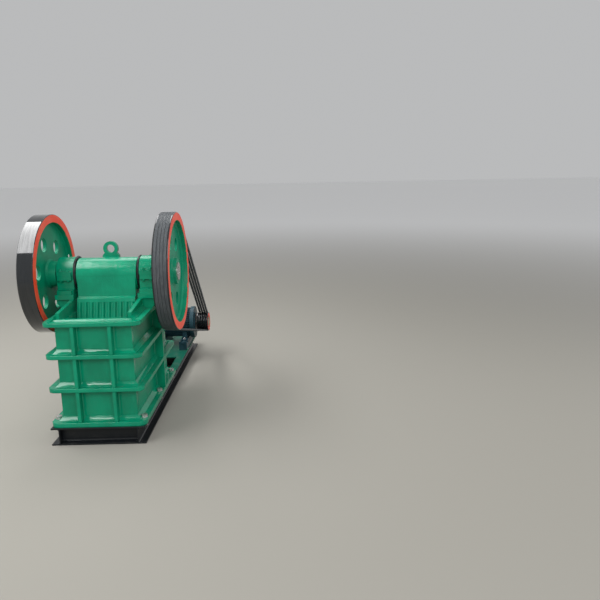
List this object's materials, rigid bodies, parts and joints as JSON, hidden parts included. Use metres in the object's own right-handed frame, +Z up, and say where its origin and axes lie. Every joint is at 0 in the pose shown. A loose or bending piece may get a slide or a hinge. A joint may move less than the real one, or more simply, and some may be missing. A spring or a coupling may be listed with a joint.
{
  "type": "jaw crusher",
  "caption": "Small jaw crusher with a ribbed green body, two heavy wheels and a belt-driven electric motor, on a black channel skid.",
  "frame": {"origin": "middle of the skid's underside, on the ground", "axes": "+Z up, +X towards the belt wheel, +Y from the front wall back to the motor"},
  "size_m": [0.83, 2.025, 1.2519],
  "materials": {
    "green_paint": "gloss",
    "black_paint": "gloss",
    "wheel_paint": "gloss",
    "navy_paint": "satin",
    "worn_steel": "rough",
    "bare_steel": "satin",
    "black_rubber": "matt"
  },
  "bodies": {
    "frame": {"skid_beam_left": "black_paint", "skid_beam_right": "black_paint", "skid_front_beam": "black_paint", "skid_cross_beams": "black_paint", "base_flange": "green_paint", "front_wall": "green_paint", "side_wall_left": "green_paint", "side_wall_right": "green_paint", "rear_wall": "green_paint", "front_ribs": "green_paint", "front_uprights": "green_paint", "side_ribs_left": "green_paint", "side_ribs_right": "green_paint", "side_gussets": "green_paint", "rear_ribs": "green_paint", "bearing_seats": "green_paint", "bearing_base_left": "green_paint", "bearing_base_right": "green_paint", "bearing_cap_left": "green_paint", "bearing_cap_right": "green_paint", "bearing_covers": "green_paint", "shaft_seals": "black_rubber", "fixed_jaw_plate": "green_paint", "cheek_plates": "worn_steel", "toggle_beam": "green_paint", "toggle_seat": "worn_steel", "toggle_plate": "worn_steel", "tension_rod": "bare_steel", "tension_spring": "black_paint", "motor_deck": "green_paint", "motor_rails": "green_paint", "motor_body": "navy_paint", "motor_fan_cover": "navy_paint", "terminal_box": "navy_paint", "base_bolts": "green_paint", "v_belts": "black_rubber"},
    "rotor": {"eccentric_shaft": "bare_steel", "flywheel": "wheel_paint", "belt_wheel": "wheel_paint"},
    "jaw": {"swing_jaw": "green_paint", "swing_jaw_plate": "green_paint", "jaw_clamp_bar": "green_paint", "lifting_eye": "green_paint"},
    "motor_rotor": {"motor_shaft": "bare_steel", "motor_pulley": "wheel_paint"}
  },
  "joints": [
    {"name": "shaft_spin", "type": "hinge", "parent": "frame", "child": "rotor", "pos_m": [0, -0.5315, 0.896], "axis": [1, 0, 0], "continuous": true},
    {"name": "jaw_swing", "type": "hinge", "parent": "rotor", "child": "jaw", "pos_m": [0, -0.5315, 0.888], "axis": [1, 0, 0], "continuous": true},
    {"name": "motor_spin", "type": "hinge", "parent": "frame", "child": "motor_rotor", "pos_m": [0, 0.6775, 0.285], "axis": [1, 0, 0], "continuous": true}
  ],
  "couplings": [
    {"joint": "jaw_swing", "follows": "shaft_spin", "ratio": -1},
    {"joint": "motor_spin", "follows": "shaft_spin", "ratio": 4.9437}
  ]
}
